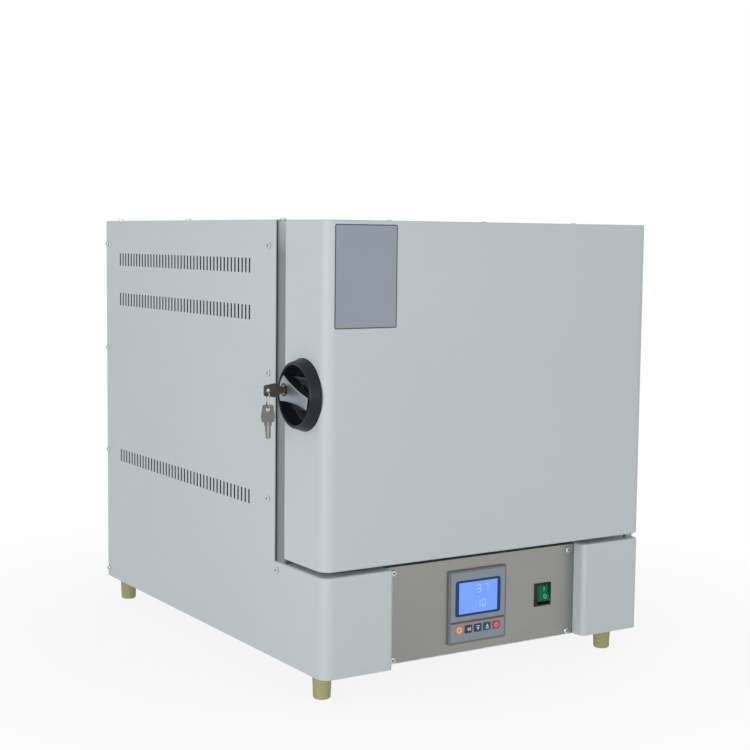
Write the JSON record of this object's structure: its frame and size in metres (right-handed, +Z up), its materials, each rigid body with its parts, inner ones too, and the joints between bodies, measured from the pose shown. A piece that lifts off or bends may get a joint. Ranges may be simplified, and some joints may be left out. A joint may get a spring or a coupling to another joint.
{
  "type": "muffle furnace",
  "caption": "Bench laboratory muffle furnace: white sheet-steel cabinet on rubber feet, side-hinged insulated door with a recessed turning latch, and a recessed control panel under the door.",
  "frame": {"origin": "on the floor, under the middle of the whole outline, key and spigot included", "axes": "+Z up, +Y from the door to the rear panel, +X to the right seen from the front, towards the door's hinge"},
  "size_m": [0.5469, 0.672, 0.5824],
  "materials": {
    "white_paint": "smooth semi-gloss powder coat, off-white",
    "zinc_steel": "zinc-coated sheet",
    "stainless": "fine brushed stainless steel",
    "plated": "bright plated steel",
    "handle_metal": "satin plated die casting",
    "black_plastic": "fine-grained black moulding",
    "rubber": "olive-grey moulded rubber",
    "fibre": "rigid ceramic fibre board",
    "ceramic": "unglazed refractory ceramic",
    "element_steel": "oxidised heat-resistant alloy",
    "fin_aluminium": "plain extrusion",
    "grey_plastic": "grey film on a moulded case",
    "window_plastic": "clear window over a blue display",
    "green_plastic": "translucent green moulding",
    "orange_plastic": "smooth key",
    "navy_plastic": "smooth key",
    "red_plastic": "smooth key"
  },
  "bodies": {
    "cabinet": {"base_tray": "zinc_steel", "rubber_feet": "rubber", "foot_bolts": "plated", "left_side_panel": "white_paint", "right_side_panel": "white_paint", "top_cover": "white_paint", "rear_panel": "white_paint", "front_frame": "stainless", "frame_top_strip": "rubber", "deck": "zinc_steel", "control_panel": "stainless", "side_screws": "plated", "top_screws": "plated", "panel_screws": "plated", "throat_collar": "fibre", "muffle": "fibre", "muffle_rear_wall": "fibre", "heating_elements": "element_steel", "hearth_plate": "ceramic", "insulation_boards": "fibre", "inner_casing": "zinc_steel", "element_bushes": "ceramic", "casing_rails": "zinc_steel", "thermocouple": "element_steel", "exhaust_pipe": "ceramic", "exhaust_spigot": "stainless", "cable_gland": "black_plastic", "gland_nut": "black_plastic", "heat_sink": "fin_aluminium", "relay": "black_plastic", "terminal_block": "black_plastic", "controller_housing": "grey_plastic", "display_window": "window_plastic", "rocker_housing": "black_plastic", "upper_hinge_arm": "zinc_steel", "lower_hinge_pin": "stainless", "hinge_pin_nut": "plated", "latch_keeper": "zinc_steel"},
    "door": {"door_shell": "white_paint", "door_inner_panel": "stainless", "door_board": "fibre", "door_plug": "fibre", "door_gasket": "fibre", "upper_hinge_block": "zinc_steel", "lower_hinge_block": "zinc_steel", "handle_dish": "black_plastic"},
    "handle": {"handle_blade": "handle_metal", "handle_shaft": "plated", "latch_hook": "plated", "lock_barrel": "plated"},
    "lock_core": {"lock_plug": "plated", "lock_key": "plated"},
    "ring": {"key_ring": "plated"},
    "second_key": {"spare_key": "plated"},
    "power_rocker": {"rocker": "green_plastic"},
    "key_1": {"push_key_1": "orange_plastic"},
    "key_2": {"push_key_2": "navy_plastic"},
    "key_3": {"push_key_3": "navy_plastic"},
    "key_4": {"push_key_4": "navy_plastic"},
    "key_5": {"push_key_5": "red_plastic"}
  },
  "joints": [
    {"name": "door_hinge", "type": "hinge", "parent": "cabinet", "child": "door", "pos_m": [0.25958, -0.32, 0.1645], "axis": [0, 0, 1], "range_deg": [0, 105]},
    {"name": "handle_turn", "type": "hinge", "parent": "door", "child": "handle", "pos_m": [-0.23042, -0.2855, 0.372], "axis": [-1, 0, 0], "range_deg": [0, 90]},
    {"name": "key_turn", "type": "hinge", "parent": "handle", "child": "lock_core", "pos_m": [-0.24502, -0.26453, 0.37676], "axis": [-1, 0, 0], "range_deg": [0, 90]},
    {"name": "ring_swing", "type": "hinge", "parent": "lock_core", "child": "ring", "pos_m": [-0.26653, -0.26453, 0.37556], "axis": [0, 1, 0], "range_deg": [-10, 40]},
    {"name": "spare_key_swing", "type": "hinge", "parent": "ring", "child": "second_key", "pos_m": [-0.26653, -0.26453, 0.35556], "axis": [0, 1, 0], "range_deg": [-5, 25]},
    {"name": "rocker_tilt", "type": "hinge", "parent": "cabinet", "child": "power_rocker", "pos_m": [0.11688, -0.3089, 0.0944], "axis": [1, 0, 0], "range_deg": [0, 24]},
    {"name": "key_1_press", "type": "slide", "parent": "cabinet", "child": "key_1", "axis": [0, 1, 0], "range_m": [0, 0.0006], "stiffness_N_per_m": 500, "springref_m": -0.001},
    {"name": "key_2_press", "type": "slide", "parent": "cabinet", "child": "key_2", "axis": [0, 1, 0], "range_m": [0, 0.0006], "stiffness_N_per_m": 500, "springref_m": -0.001},
    {"name": "key_3_press", "type": "slide", "parent": "cabinet", "child": "key_3", "axis": [0, 1, 0], "range_m": [0, 0.0006], "stiffness_N_per_m": 500, "springref_m": -0.001},
    {"name": "key_4_press", "type": "slide", "parent": "cabinet", "child": "key_4", "axis": [0, 1, 0], "range_m": [0, 0.0006], "stiffness_N_per_m": 500, "springref_m": -0.001},
    {"name": "key_5_press", "type": "slide", "parent": "cabinet", "child": "key_5", "axis": [0, 1, 0], "range_m": [0, 0.0006], "stiffness_N_per_m": 500, "springref_m": -0.001}
  ]
}
